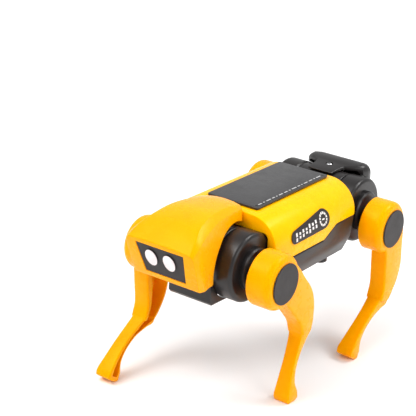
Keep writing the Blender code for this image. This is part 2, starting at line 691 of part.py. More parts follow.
def make_rump_cover():
    """Hood over the rear hips: a thin tongue in front, a wide hollow wing behind."""
    stations = ((50.0, 8.0, 98.6, 97.8, 0.5), (56.0, 8.6, 99.3, 97.8, 0.8), (62.0, 9.5, 99.9, 97.8, 1.2),
                (65.0, 15.0, 100.2, 96.5, 2.2), (68.0, 19.0, 100.4, 94.8, 3.6),
                (72.0, 20.0, 100.6, 92.5, 4.6), (76.0, 19.6, 99.6, 88.0, 5.0),
                (78.6, 18.0, 96.5, 86.5, 5.0))
    bm = bmesh.new()
    rings = []
    for y, half, top, low, radius in stations:
        corner = arc_pts(half - radius, top - radius, radius, 0.0, 90.0, 4)
        right = [(half, min(low, top - radius - 0.05))] + corner
        rings.append([(x, y, z) for x, z in right + [(-x, z) for x, z in reversed(right)]])
    add_rings(bm, rings)
    obj = finish("rump_cover", bm, BLACK, 0.5, smooth=35)
    round_edges(obj, 0.5, 1, 45)
    for side in (1, -1):
        pocket = [(6.5, 80.0), (17.6, 80.0), (17.6, 96.0), (16.0, 97.6), (6.5, 97.6)]
        pocket = [(side * x, z) for x, z in pocket]
        boolean(obj, cutter("rump_pocket_%d" % (side + 1), prism_y(pocket, 58.0, 76.2)))
    rib = prism_y([(-6.6, 80.0), (6.6, 80.0), (6.6, 97.5), (-6.6, 97.5)], 67.0, 76.2)
    boolean(obj, cutter("rump_rib", rib))
    well = turned([(98.4, 2.1), (110.0, 2.1)], (0, RUMP_SCREW_Y, 0), 16, "Z")
    boolean(obj, cutter("rump_screw_well", well))
    hole = turned([(90.0, PILOT_R), (104.0, PILOT_R)], (0, RUMP_SCREW_Y, 0), 12, "Z")
    boolean(obj, cutter("rump_screw_hole", hole))
    return obj


def make_small_screw(name, x, y, z_face, up, head_r=1.8, length=4.0):
    """Small cross-head screw; up is +1 for a head on top, -1 for one below."""
    profile = [(z_face - up * length, 0.5), (z_face - up * (length - 0.4), 0.8),
               (z_face, 0.8), (z_face, head_r), (z_face + up * 0.7, head_r),
               (z_face + up * 1.1, head_r - 0.5)]
    obj = finish(name, turned(profile, (x, y, 0), 12, "Z"), METAL, 0.3, 1.0,
                 origin=(x, y, z_face), smooth=40)
    lo = min(z_face + up * 0.6, z_face + up * 3.0)
    hi = max(z_face + up * 0.6, z_face + up * 3.0)
    for i, (a, b) in enumerate(((1.1, 0.28), (0.28, 1.1))):
        slot = prism_z([(x - a, y - b), (x + a, y - b), (x + a, y + b), (x - a, y + b)], lo, hi)
        boolean(obj, cutter("%s_slot_%d" % (name, i), slot))
    return obj


def make_motor_can():
    profile = [(MOTOR_Y0 - 1.2, 3.2), (MOTOR_Y0 - 1.0, 3.4), (MOTOR_Y0 - 0.01, 3.4),
               (MOTOR_Y0, MOTOR_R - 1.2), (MOTOR_Y0 + 1.2, MOTOR_R), (MOTOR_Y1 - 5.0, MOTOR_R)]
    obj = finish("motor_can", turned(profile, (0, 0, WORM_Z), 30, "Y"), METAL, 0.3, 1.0,
                 origin=(0, 0, WORM_Z), smooth=35)
    bore = turned([(-30.0, SHAFT_R + 0.35), (30.0, SHAFT_R + 0.35)], (0, 0, WORM_Z), 12, "Y")
    boolean(obj, cutter("motor_can_bore", bore))
    return obj


def make_motor_tail():
    profile = [(MOTOR_Y1 - 4.7, MOTOR_R - 0.6), (MOTOR_Y1 - 4.7 + 3.6, MOTOR_R - 0.6),
               (MOTOR_Y1 - 4.7 + 4.2, MOTOR_R - 1.4), (MOTOR_Y1 - 0.3, 3.4), (MOTOR_Y1 + 1.0, 3.4),
               (MOTOR_Y1 + 1.2, 3.2)]
    obj = finish("motor_tail", turned(profile, (0, 0, WORM_Z), 30, "Y"), (0.8, 0.8, 0.78), 0.5,
                 origin=(0, 0, WORM_Z), smooth=35)
    bore = turned([(-30.0, SHAFT_R + 0.35), (30.0, SHAFT_R + 0.35)], (0, 0, WORM_Z), 12, "Y")
    boolean(obj, cutter("motor_tail_bore", bore))
    return obj


def make_motor_shaft():
    end = HIP_Y + 12.0
    profile = [(-end, SHAFT_R - 0.3), (-end + 0.3, SHAFT_R), (end - 0.3, SHAFT_R), (end, SHAFT_R - 0.3)]
    return finish("motor_shaft", turned(profile, (0, 0, WORM_Z), 16, "Y"), METAL, 0.2, 1.0,
                  origin=(0, 0, WORM_Z), smooth=40)


def make_worm(name, sign):
    """Worm with one helical thread, pressed on the motor shaft."""
    bore = SHAFT_R + 0.15
    y0 = sign * HIP_Y - 0.5 * WORM_PITCH * WORM_TURNS
    rows = WORM_TURNS * 6
    rings = [[(bore, y0)] * 10]
    for k in range(rows + 1):
        turn = k / 6
        fade = min(1.0, 2.0 * turn, 2.0 * (WORM_TURNS - turn))
        ring = []
        for i in range(10):
            wave = 0.5 + 0.5 * math.cos(2.0 * math.pi * (turn - i / 10))
            radius = WORM_R - WORM_THREAD + WORM_THREAD * fade * wave ** 1.5
            ring.append((radius, y0 + WORM_PITCH * turn))
        rings.append(ring)
    rings.append([(bore, y0 + WORM_PITCH * WORM_TURNS)] * 10)
    bm = bmesh.new()
    loops = []
    for ring in rings:
        loop = []
        for i, (radius, y) in enumerate(ring):
            angle = 2.0 * math.pi * i / 10
            loop.append(bm.verts.new((radius * math.cos(angle), y, WORM_Z + radius * math.sin(angle))))
        loops.append(loop)
    bridge_closed(bm, loops)
    return finish(name, bm, CREAM, 0.4, origin=(0, sign * HIP_Y, WORM_Z), smooth=50)


def make_worm_wheel(name, sign):
    """Toothed wheel pressed on the axle under the worm."""
    teeth = 16
    y = sign * HIP_Y
    bm = bmesh.new()
    outer = []
    for i in range(teeth):
        for offset, radius in ((-0.36, WHEEL_R - 1.5), (-0.17, WHEEL_R), (0.17, WHEEL_R), (0.36, WHEEL_R - 1.5)):
            angle = 2.0 * math.pi * (i + offset) / teeth
            outer.append((radius * math.cos(angle), radius * math.sin(angle)))
    count = len(outer)
    inner = []
    for i in range(count):
        angle = math.atan2(outer[i][1], outer[i][0])
        inner.append(((AXLE_R + 0.05) * math.cos(angle), (AXLE_R + 0.05) * math.sin(angle)))
    loops = []
    for x, ring in ((-3.0, inner), (-3.0, outer), (3.0, outer), (3.0, inner)):
        loops.append([bm.verts.new((x, y + u, AXLE_Z + v)) for u, v in ring])
    bridge_closed(bm, loops)
    return finish(name, bm, CREAM, 0.45, origin=(0, y, AXLE_Z), smooth=30)


def make_motor_cradle():
    """Saddle block that carries the motor on the floor of the belly."""
    outline = [(-13.0, 58.7), (13.0, 58.7), (13.0, 87.0)]
    outline += [(x, z) for x, z in arc_pts(0.0, WORM_Z, MOTOR_R + 0.3, 0.0, -180.0, 20)
                if abs(x) < MOTOR_R + 0.31]
    outline += [(-13.0, 87.0)]
    obj = finish("motor_cradle", prism_y(outline, -10.0, 5.0), BLACK, 0.5, smooth=30)
    window = prism_y([(-9, 62), (9, 62), (9, 73), (-9, 73)], -20.0, 20.0)
    boolean(obj, cutter("cradle_window", window))
    return obj


def tube_along(points, radius, count):
    """Round tube through the points, ends closed."""
    bm = bmesh.new()
    rings = []
    up = Vector((1.0, 0.0, 0.0))
    for k, point in enumerate(points):
        ahead = Vector(points[min(k + 1, len(points) - 1)])
        behind = Vector(points[max(k - 1, 0)])
        along = (ahead - behind).normalized()
        side = along.cross(up)
        if side.length < 0.2:
            side = along.cross(Vector((0.0, 0.0, 1.0)))
        side.normalize()
        other = along.cross(side).normalized()
        ring = []
        for i in range(count):
            angle = 2.0 * math.pi * i / count
            ring.append(Vector(point) + side * radius * math.cos(angle) + other * radius * math.sin(angle))
        rings.append(ring)
    add_rings(bm, rings)
    return bm


def bezier(p0, p1, p2, p3, count):
    points = []
    for i in range(count + 1):
        t = i / count
        s = 1.0 - t
        points.append(tuple(s ** 3 * a + 3 * s * s * t * b + 3 * s * t * t * c + t ** 3 * d
                            for a, b, c, d in zip(p0, p1, p2, p3)))
    return points


def make_wire(name, x, colour):
    """Wire from the panel's underside, through the shell, to the motor's tail."""
    end_x = 3.4 if x > -7 else -5.6
    points = bezier((x, 24.0, SHELL_TOP + 0.15), (x, 24.0, 92.0), (end_x, 22.0, 90.0),
                    (end_x, MOTOR_Y1 + 1.6, 91.6), 14)
    return finish(name, tube_along(points, 0.55, 8), colour, 0.45, smooth=60)


def centre_over_origin():
    """Hang every piece on one empty, so that the robot's box is centred over the origin."""
    graph = bpy.context.evaluated_depsgraph_get()
    depths = []
    for obj in bpy.data.objects:
        if not obj.hide_render:
            shown = obj.evaluated_get(graph)
            mesh = shown.to_mesh()
            depths += [(shown.matrix_world @ vert.co).y for vert in mesh.vertices]
            shown.to_mesh_clear()
    robot = bpy.data.objects.new("robot", None)
    for obj in bpy.data.objects:
        if obj is not robot:
            obj.parent = robot
    bpy.context.scene.collection.objects.link(robot)
    robot.location.y = -0.5 * (min(depths) + max(depths))


def build():
    clear_scene()
    make_top_shell()
    make_belly_tray()
    make_head_shell()
    make_face_plate()
    make_eye("eye_left", 1)
    make_eye("eye_right", -1)
    make_chin_plate()
    make_hip_frame("front_hip_frame", -1)
    make_hip_frame("rear_hip_frame", 1)
    make_solar_panel()
    make_bus_strip()
    make_side_label("side_label_left", 1)
    make_side_label("side_label_right", -1)
    make_rump_cover()
    make_small_screw("rump_screw", 0.0, RUMP_SCREW_Y, 98.6, 1, 1.7, 6.0)
    for i, (x, y) in enumerate(screw_places()):
        make_small_screw("belly_screw_%d" % (i + 1), x, y, BOSS_LOW + 1.8, -1, 2.0, 9.0)
    make_motor_cradle()
    make_motor_can()
    make_motor_tail()
    make_motor_shaft()
    make_worm("worm_front", -1)
    make_worm("worm_rear", 1)
    make_worm_wheel("worm_wheel_front", -1)
    make_worm_wheel("worm_wheel_rear", 1)
    make_wire("wire_red", -5.0, (0.7, 0.02, 0.02))
    make_wire("wire_black", -8.0, (0.02, 0.02, 0.02))
    make_axle("front_axle", -1)
    make_axle("rear_axle", 1)
    for place, sign in (("front", -1), ("rear", 1)):
        for hand, side in (("left", 1), ("right", -1)):
            lift = CRANK_E if (place == "front") == (hand == "left") else -CRANK_E
            angle = 0.0 if lift > 0 else -SWING_DEG
            tag = "%s_%s" % (place, hand)
            make_drum("hip_drum_" + tag, side, sign)
            make_crank("crank_" + tag, side, sign, lift)
            make_carrier("leg_carrier_" + tag, side, sign, lift)
            make_leg("leg_" + tag, side, sign, lift, angle)
            make_leg_cap("leg_cap_" + tag, side, sign, lift)
            make_leg_screw("leg_screw_" + tag, side, sign, lift)
    centre_over_origin()


build()
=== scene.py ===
"""Visual model of a solar robot dog kit, riding on the frame of its CAD assembly.

The nose points to -Y, the dog's left side is +X and +Z is up. Lengths are in
millimetres unless a comment says otherwise, and y counts from the middle
between the hips; SHIFT_Y brings each finished mesh into the assembly's frame.
"""
import math

import bmesh
import bpy
from mathutils import Matrix, Vector


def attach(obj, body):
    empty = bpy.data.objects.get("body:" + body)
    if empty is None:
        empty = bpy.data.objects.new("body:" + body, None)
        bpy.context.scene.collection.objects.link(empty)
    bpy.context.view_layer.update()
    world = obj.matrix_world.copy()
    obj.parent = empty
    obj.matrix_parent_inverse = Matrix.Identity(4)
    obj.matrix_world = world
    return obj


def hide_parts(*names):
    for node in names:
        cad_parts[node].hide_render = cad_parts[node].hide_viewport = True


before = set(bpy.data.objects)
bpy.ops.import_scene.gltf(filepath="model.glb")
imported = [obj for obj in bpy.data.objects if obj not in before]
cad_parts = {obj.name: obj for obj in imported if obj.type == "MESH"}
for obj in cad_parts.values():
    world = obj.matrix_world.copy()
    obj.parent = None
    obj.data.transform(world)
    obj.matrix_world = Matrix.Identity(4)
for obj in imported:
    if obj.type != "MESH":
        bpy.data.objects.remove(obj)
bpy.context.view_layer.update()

MM = 0.001

# ---- driving dimensions (mm) ----
HIP_Y = 56.0            # both axles sit this far from the middle
AXLE_Z = 74.7           # height of both crank axles
RUMP_SCREW_Y = 60.5
CRANK_E = 1.6           # throw of the crank pins
DRUM_Z = 78.8           # height of the hip drums
DRUM_R = 19.0
DRUM_IN = 15.0
DRUM_OUT = 27.4
STEP_R = 11.7
STEP_OUT = 30.4
AXLE_BORE = 2.45
CUP_R = 15.3
CUP_IN = 33.9
CUP_OUT = 48.2
CUP_WALL = 1.9
BOSS_BORE = 4.85
BOSS_R = 6.8
CAP_R = 11.2
CAP_T = 0.7
LEG_IN = 37.8           # inner face of thigh and shank
SOLE_Z = -76.3          # sole below the shoulder, leg upright
HEEL_Y = 20.0
HEEL_FACET = 2.6
DRUM_ROUND = 2.4
CUP_ROUND = 4.1
SHAFT_HOLE = 2.6        # clearance for the motor shaft
ARCH_R = 21.6           # the head's cut-out round the drums
FRAME_R = 18.6          # hip frame, round part
FRAME_FLAT = 19.0       # hip frame, from axle to its flat end
FRAME_HALF = 14.6
FRAME_WALL = 2.2
MOUTH_ROUND = 3.0
POST_R = 2.5            # screw posts inside the shell
PILOT_R = 1.1           # screw holes
SWING_DEG = 36.76       # the swung pair of legs at rest

SHELL_Y0 = -44.0
SHELL_Y1 = 36.0
SHELL_TOP = 102.6
SHELL_FLAT = 16.5
SHELL_RAD = 17.0
SHELL_WALL = 2.0
MOUTH_HALF = 28.2       # opening in the shell's front end
MOUTH_TOP = 94.3
EDGE_LOW = 77.6
EDGE_HIGH = 83.6
EDGE_Y0 = 5.0
EDGE_Y1 = 17.0
GAP = 0.3
TRAY_Y = 36.7           # the tray ends this far from the middle, both ways
SCREW_X = 18.0          # belly screws and shell posts
SCREW_Y = 28.0
BOSS_LOW = 53.2

PANEL_W = 33.0
PANEL_Y0 = -38.0
PANEL_Y1 = 32.0
PANEL_T = 1.3

WORM_Z = 87.3
SHIFT_Y = 0.006191      # metres, centres the robot over the origin
FINE = 3                # turned pieces have this many times the CAD's segments

# Surface names; MATERIALS below holds one material for each.
YELLOW = "yellow_plastic"
BLACK = "black_plastic"
DARK = "dark_cap"
METAL = "steel"
CREAM = "cream_plastic"
EYE = "eye_white"
CELL = "solar_cell"
PRINT = "silver_print"
MARKS = "print_white"
# The head's copy of the yellow plastic is deeper orange: painted shade on the same moulding as the shell.
HEAD_PAINTED_SHADE = "head_yellow_painted_shade"
# The legs' copy of the yellow plastic is deeper orange: painted shade on the same moulding.
LEG_PAINTED_SHADE = "leg_yellow_painted_shade"
RED_WIRE = "red_insulation"
BLACK_WIRE = "black_insulation"


def wire(tree, a, out, b, inp):
    tree.links.new(a.outputs[out], b.inputs[inp])


def noise(tree, coords, scale, detail=4.0, rough=0.55):
    node = tree.nodes.new("ShaderNodeTexNoise")
    node.inputs["Scale"].default_value = scale
    node.inputs["Detail"].default_value = detail
    node.inputs["Roughness"].default_value = rough
    wire(tree, coords, "Object", node, "Vector")
    return node


def spread(tree, source, out, low, high, start=0.3, end=0.7):
    """Map a texture's middle range to values between low and high."""
    node = tree.nodes.new("ShaderNodeMapRange")
    node.inputs["From Min"].default_value = start
    node.inputs["From Max"].default_value = end
    node.inputs["To Min"].default_value = low
    node.inputs["To Max"].default_value = high
    wire(tree, source, out, node, "Value")
    return node


def colour_drift(tree, coords, shader, colour, second, mottle):
    """Base colour that wanders slowly between two close tones."""
    drift = noise(tree, coords, mottle, 5.0, 0.6)
    ramp = tree.nodes.new("ShaderNodeValToRGB")
    ramp.color_ramp.elements[0].position = 0.3
    ramp.color_ramp.elements[1].position = 0.7
    ramp.color_ramp.elements[0].color = (*colour, 1.0)
    ramp.color_ramp.elements[1].color = (*second, 1.0)
    wire(tree, drift, "Fac", ramp, "Fac")
    wire(tree, ramp, "Color", shader, "Base Color")


def uneven_gloss(tree, coords, shader, rough, mottle, sway, scuffs):
    """Roughness with broad patches and fine directional scuffs."""
    gloss = noise(tree, coords, mottle * 3.0, 6.0, 0.65)
    uneven = spread(tree, gloss, "Fac", rough - sway, rough + sway)
    stretch = tree.nodes.new("ShaderNodeMapping")
    stretch.inputs["Scale"].default_value = (90.0, 1500.0, 420.0)
    stretch.inputs["Rotation"].default_value = (0.3, 0.5, 0.4)
    wire(tree, coords, "Object", stretch, "Vector")
    scratch = tree.nodes.new("ShaderNodeTexNoise")
    scratch.inputs["Scale"].default_value = 1.0
    scratch.inputs["Detail"].default_value = 2.0
    wire(tree, stretch, "Vector", scratch, "Vector")
    lines = spread(tree, scratch, "Fac", 0.0, 0.12 * scuffs, 0.66, 0.78)
    total = tree.nodes.new("ShaderNodeMath")
    total.operation = "ADD"
    wire(tree, uneven, "Result", total, 0)
    wire(tree, lines, "Result", total, 1)
    wire(tree, total, "Value", shader, "Roughness")


def bump(tree, source, strength, distance):
    node = tree.nodes.new("ShaderNodeBump")
    node.inputs["Strength"].default_value = strength
    node.inputs["Distance"].default_value = distance * MM
    wire(tree, source, "Fac", node, "Height")
    return node


def moulded_relief(tree, coords, shader, grain, relief, mottle):
    """Fine grain over the slight sag of a moulded wall."""
    fine = bump(tree, noise(tree, coords, grain, 3.0, 0.6), 0.35, relief)
    sag = bump(tree, noise(tree, coords, mottle * 1.5, 2.0, 0.5), 0.3, 0.05)
    wire(tree, fine, "Normal", sag, "Normal")
    wire(tree, sag, "Normal", shader, "Normal")


def surface(name, colour, second, rough, metal=0.0, grain=1400.0, relief=0.05, coat=0.0,
            mottle=60.0, scuffs=0.35, specular=0.5, depth=0.0, sway=0.05):
    """Moulded or rolled surface; depth above 0 is for the light-passing yellow plastic."""
    mat = bpy.data.materials.new(name)
    mat.use_nodes = True
    tree = mat.node_tree
    shader = tree.nodes["Principled BSDF"]
    coords = tree.nodes.new("ShaderNodeTexCoord")
    colour_drift(tree, coords, shader, colour, second, mottle)
    uneven_gloss(tree, coords, shader, rough, mottle, sway, scuffs)
    moulded_relief(tree, coords, shader, grain, relief, mottle)
    shader.inputs["Metallic"].default_value = metal
    shader.inputs["IOR"].default_value = 1.5
    shader.inputs["Specular IOR Level"].default_value = specular
    if depth:
        shader.inputs["Specular Tint"].default_value = (1.0, 0.62, 0.05, 1.0)
        shader.inputs["Subsurface Weight"].default_value = depth
        shader.inputs["Subsurface Radius"].default_value = (1.0, 0.25, 0.02)
        shader.inputs["Subsurface Scale"].default_value = 2.5 * MM
    if coat:
        shader.inputs["Coat Weight"].default_value = coat
        shader.inputs["Coat Roughness"].default_value = 0.12
    return mat


# Two close tones, roughness and what differs from the defaults of surface().
FINISHES = {
    YELLOW: dict(colour=(1.0, 0.45, 0.0), second=(1.0, 0.485, 0.0), rough=0.27, relief=0.02,
                 specular=0.22, scuffs=0.15, depth=0.15),
    # Painted shade: the shell's yellow made deeper orange for the head, whose sides face away from the
    # light.
    HEAD_PAINTED_SHADE: dict(colour=(1.0, 0.355, 0.0), second=(1.0, 0.385, 0.0), rough=0.26, relief=0.02,
                     specular=0.22, scuffs=0.15, depth=0.15),
    # Painted shade: the yellow plastic made deeper orange for the legs, which stand in shade.
    LEG_PAINTED_SHADE: dict(colour=(1.0, 0.345, 0.0), second=(1.0, 0.38, 0.0), rough=0.28, relief=0.02,
                    specular=0.22, scuffs=0.2, depth=0.25),
    BLACK: dict(colour=(0.0075, 0.006, 0.006), second=(0.011, 0.009, 0.009), rough=0.33,
                relief=0.03, specular=0.4, scuffs=0.1, sway=0.02),
    DARK: dict(colour=(0.016, 0.013, 0.013), second=(0.022, 0.018, 0.018), rough=0.48,
               relief=0.03, specular=0.3),
    METAL: dict(colour=(0.55, 0.55, 0.57), second=(0.66, 0.66, 0.67), rough=0.28, metal=1.0,
                grain=2600.0),
    CREAM: dict(colour=(0.80, 0.78, 0.70), second=(0.86, 0.84, 0.77), rough=0.42),
    EYE: dict(colour=(0.80, 0.70, 0.70), second=(0.86, 0.78, 0.77), rough=0.3, relief=0.02,
              mottle=300.0),
    CELL: dict(colour=(0.014, 0.014, 0.015), second=(0.026, 0.025, 0.027), rough=0.33,
               grain=900.0, relief=0.25, coat=0.2, specular=0.4),
    PRINT: dict(colour=(0.60, 0.60, 0.60), second=(0.8, 0.8, 0.8), rough=0.4, metal=0.6),
    MARKS: dict(colour=(0.72, 0.68, 0.66), second=(0.82, 0.78, 0.76), rough=0.5),
    RED_WIRE: dict(colour=(0.55, 0.02, 0.02), second=(0.62, 0.03, 0.03), rough=0.45),
    BLACK_WIRE: dict(colour=(0.02, 0.02, 0.02), second=(0.03, 0.03, 0.03), rough=0.45),
}
MATERIALS = {name: surface(name, **settings) for name, settings in FINISHES.items()}


def finish(name, bm, surface, origin=(0, 0, 0)):
    """Turn a bmesh in design millimetres into an object of the given surface."""
    bmesh.ops.recalc_face_normals(bm, faces=bm.faces)
    shift = Vector(origin)
    for vert in bm.verts:
        vert.co = (vert.co - shift) * MM
    mesh = bpy.data.meshes.new("look_" + name)
    bm.to_mesh(mesh)
    bm.free()
    obj = bpy.data.objects.new("look_" + name, mesh)
    obj.location = shift * MM
    bpy.context.scene.collection.objects.link(obj)
    mesh.materials.append(MATERIALS[surface])
    return obj


def curved(points, steps, closed=False):
    """Catmull-Rom curve through points of any dimension."""
    count = len(points)
    spans = count if closed else count - 1
    out = []
    for i in range(spans):
        if closed:
            p0, p1, p2, p3 = (points[(i + k) % count] for k in (-1, 0, 1, 2))
        else:
            p0, p1 = points[max(i - 1, 0)], points[i]
            p2, p3 = points[i + 1], points[min(i + 2, count - 1)]
        for k in range(steps):
            t = k / steps
            out.append(tuple(0.5 * (2 * b + (c - a) * t + (2 * a - 5 * b + 4 * c - d) * t * t
                                    + (3 * b - a - 3 * c + d) * t ** 3)
                             for a, b, c, d in zip(p0, p1, p2, p3)))
    if not closed:
        out.append(tuple(points[-1]))
    return out


def add_rings(bm, rings):
    """Skin a list of equal-length closed rings and close both ends."""
    loops = []
    for ring in rings:
        loops.append([bm.verts.new(point) for point in ring])
    count = len(loops[0])
    for first, second in zip(loops[:-1], loops[1:]):
        for i in range(count):
            j = (i + 1) % count
            bm.faces.new((first[i], first[j], second[j], second[i]))
    bm.faces.new(list(reversed(loops[0])))
    bm.faces.new(loops[-1])


def prism_x(outline, x0, x1):
    """Extrude a (y, z) outline from x0 to x1."""
    bm = bmesh.new()
    add_rings(bm, [[(x0, y, z) for y, z in outline], [(x1, y, z) for y, z in outline]])
    return bm


def prism_y(outline, y0, y1):
    """Extrude an (x, z) outline from y0 to y1."""
    bm = bmesh.new()
    add_rings(bm, [[(x, y0, z) for x, z in outline], [(x, y1, z) for x, z in outline]])
    return bm


def prism_z(outline, z0, z1):
    """Extrude an (x, y) outline from z0 to z1."""
    bm = bmesh.new()
    add_rings(bm, [[(x, y, z0) for x, y in outline], [(x, y, z1) for x, y in outline]])
    return bm


def arc_pts(cu, cv, radius, a0, a1, count):
    points = []
    for i in range(count + 1):
        angle = math.radians(a0 + (a1 - a0) * i / count)
        points.append((cu + radius * math.cos(angle), cv + radius * math.sin(angle)))
    return points


def turned(profile, centre, count, axis="X"):
    """Closed turned solid: profile is a list of (station, radius) with r > 0."""
    count *= FINE
    bm = bmesh.new()
    rings = []
    for station, radius in profile:
        ring = []
        for i in range(count):
            angle = 2.0 * math.pi * i / count
            u = radius * math.cos(angle)
            v = radius * math.sin(angle)
            if axis == "X":
                ring.append((station, centre[1] + u, centre[2] + v))
            elif axis == "Y":
                ring.append((centre[0] + u, station, centre[2] + v))
            else:
                ring.append((centre[0] + u, centre[1] + v, station))
        rings.append(ring)
    add_rings(bm, rings)
    return bm


def pipe_turned(profile, centre, count, axis="X"):
    """Turned ring: the profile is a closed loop of (station, radius)."""
    count *= FINE
    bm = bmesh.new()
    loops = []
    for i in range(count):
        angle = 2.0 * math.pi * i / count
        loop = []
        for station, radius in profile:
            u = radius * math.cos(angle)
            v = radius * math.sin(angle)
            if axis == "X":
                loop.append(bm.verts.new((station, centre[1] + u, centre[2] + v)))
            else:
                loop.append(bm.verts.new((centre[0] + u, station, centre[2] + v)))
        loops.append(loop)
    size = len(profile)
    for i in range(count):
        first = loops[i]
        second = loops[(i + 1) % count]
        for k in range(size):
            m = (k + 1) % size
            bm.faces.new((first[k], first[m], second[m], second[k]))
    return bm


def cutter(name, bm):
    bmesh.ops.recalc_face_normals(bm, faces=bm.faces)
    for vert in bm.verts:
        vert.co = vert.co * MM
    mesh = bpy.data.meshes.new(name)
    bm.to_mesh(mesh)
    bm.free()
    obj = bpy.data.objects.new(name, mesh)
    obj.hide_render = True
    obj.display_type = "WIRE"
    bpy.context.scene.collection.objects.link(obj)
    return obj


def boolean(obj, tool, operation="DIFFERENCE"):
    mod = obj.modifiers.new("cut_" + tool.name, "BOOLEAN")
    mod.operation = operation
    mod.solver = "EXACT"
    mod.object = tool


def round_edges(obj, width, segments=2, angle=40.0):
    mod = obj.modifiers.new("edges", "BEVEL")
    mod.width = width * MM
    mod.segments = segments
    mod.limit_method = "ANGLE"
    mod.angle_limit = math.radians(angle)
    mod.harden_normals = False


def edge_height(y):
    """Height of the shell's stepped lower edge."""
    if y <= EDGE_Y0:
        return EDGE_LOW
    if y >= EDGE_Y1:
        return EDGE_HIGH
    return EDGE_LOW + (EDGE_HIGH - EDGE_LOW) * (y - EDGE_Y0) / (EDGE_Y1 - EDGE_Y0)


def screw_places():
    return [(side * SCREW_X, sign * SCREW_Y) for sign in (-1, 1) for side in (1, -1)]


def shell_section(inset, low, steps=30):
    """Half-open body section: flat top, quarter arcs, straight sides."""
    radius = SHELL_RAD - inset
    centre_z = SHELL_TOP - SHELL_RAD
    right = arc_pts(SHELL_FLAT, centre_z, radius, 0.0, 90.0, steps)
    left = [(-x, z) for x, z in reversed(right)]
    return [(right[0][0], low)] + right + left + [(left[-1][0], low)]


def make_top_shell():
    bm = bmesh.new()
    rings = []
    for y in (SHELL_Y0, EDGE_Y0, EDGE_Y1, SHELL_Y1):
        rings.append([(x, y, z) for x, z in shell_section(0.0, edge_height(y))])
    add_rings(bm, rings)
    obj = finish("top_shell", bm, YELLOW)
    round_edges(obj, 0.6, 4, 50)
    inner = cutter("shell_core", prism_y(shell_section(SHELL_WALL, 60.0), -41.0, 34.0))
    arch = arc_pts(MOUTH_HALF - MOUTH_ROUND, MOUTH_TOP - MOUTH_ROUND, MOUTH_ROUND, 0.0, 90.0, 4)
    arch = [(MOUTH_HALF, 60.0)] + arch
    arch += [(-x, z) for x, z in reversed(arch)]
    mouth = cutter("shell_mouth", prism_y(arch, -50.0, -40.9))
    boolean(obj, inner)
    boolean(obj, mouth)
    shaft_hole = turned([(30.0, SHAFT_HOLE), (40.0, SHAFT_HOLE)], (0, 0, WORM_Z), 24, "Y")
    boolean(obj, cutter("shell_shaft_hole", shaft_hole))
    wire_hole = turned([(95.0, 2.6), (110.0, 2.6)], (-6.5, 24.0, 0), 16, "Z")
    boolean(obj, cutter("shell_wire_hole", wire_hole))
    for i, (x, y) in enumerate(screw_places()):
        post = turned([(58.8, POST_R), (101.2, POST_R)], (x, y, 0), 12, "Z")
        boolean(obj, cutter("shell_post_%d" % i, post), "UNION")
        pilot = turned([(50.0, PILOT_R), (67.0, PILOT_R)], (x, y, 0), 8, "Z")
        boolean(obj, cutter("shell_pilot_%d" % i, pilot))
    return obj


def tray_section(y, inset):
    top = edge_height(y) - GAP
    half = [(33.2 - inset, top), (31.8 - inset, 70.0), (27.6 - inset, 60.6 + inset),
            (22.0 - inset, 56.4 + inset)]
    return half + [(-x, z) for x, z in reversed(half)]


def make_belly_tray():
    bm = bmesh.new()
    rings = []
    for y in (-TRAY_Y, EDGE_Y0, EDGE_Y1, TRAY_Y):
        rings.append([(x, y, z) for x, z in tray_section(y, 0.0)])
    add_rings(bm, rings)
    obj = finish("belly_tray", bm, BLACK)
    round_edges(obj, 1.2, 4, 30)
    core = bmesh.new()
    rings = []
    for y in (-TRAY_Y + 2.0, TRAY_Y - 2.0):
        half = [(31.0, 95.0), (31.0, 76.5), (29.6, 70.3), (25.6, 61.7), (21.0, 58.4)]
        rings.append([(x, y, z) for x, z in half + [(-x, z) for x, z in reversed(half)]])
    add_rings(core, rings)
    boolean(obj, cutter("tray_core", core))
    slot = prism_y([(-6, 70), (6, 70), (6, 99), (-6, 99)], -40.0, 40.0)
    boolean(obj, cutter("tray_end_slots", slot))
    for i, (x, y) in enumerate(screw_places()):
        boss = turned([(BOSS_LOW, 3.6), (BOSS_LOW + 0.6, 4.2), (58.0, 4.2)], (x, y, 0), 16, "Z")
        boolean(obj, cutter("tray_boss_%d" % i, boss), "UNION")
        well = turned([(50.0, 2.5), (BOSS_LOW + 2.0, 2.5)], (x, y, 0), 12, "Z")
        boolean(obj, cutter("tray_screw_well_%d" % i, well))
        hole = turned([(52.0, PILOT_R), (60.0, PILOT_R)], (x, y, 0), 8, "Z")
        boolean(obj, cutter("tray_screw_hole_%d" % i, hole))
    return obj


# Head stations: y, half width and height of the lower edge, half width and height
# of the side, half width and height of the crease, crown rise, chamfer, share of lean.
HEAD = ((-44.6, 11.8, 90.0, 12.0, 98.0, 11.4, 105.8, 1.5, 1.5, 0.0),
        (-51.0, 13.0, 90.0, 13.6, 98.0, 12.6, 107.4, 1.6, 2.0, 0.0),
        (-60.0, 14.6, 80.0, 15.6, 97.0, 13.8, 108.6, 1.6, 2.6, 0.0),
        (-74.0, 17.4, 73.5, 18.2, 93.0, 16.0, 109.0, 1.6, 3.2, 0.0),
        (-86.0, 20.0, 74.2, 20.8, 92.0, 18.4, 106.6, 1.4, 3.4, 0.3),
        (-94.0, 21.4, 74.6, 22.0, 93.0, 20.6, 102.6, 1.2, 2.6, 0.65),
        (-100.8, 21.0, 75.0, 21.8, 92.0, 21.2, 97.4, 0.8, 1.2, 1.0))
HEAD_WALL = 1.9
FACE_WALL = 3.0
FACE_Y = -100.8
FACE_Z = 97.4
FACE_SLOPE = 0.38
PLATE_Z = 86.8
PLATE_TOP = 15.0
PLATE_LOW = 12.6
PLATE_HALF = 9.2
EYE_X = 5.75
EYE_UP = 1.7
EYE_SHIFT = -0.7
EYE_HALF_W = 3.75
EYE_HALF_H = 5.1
CHIN_CLEAR = 19.4
CHIN_LEFT = 16.0
CHIN_RIGHT = -11.0


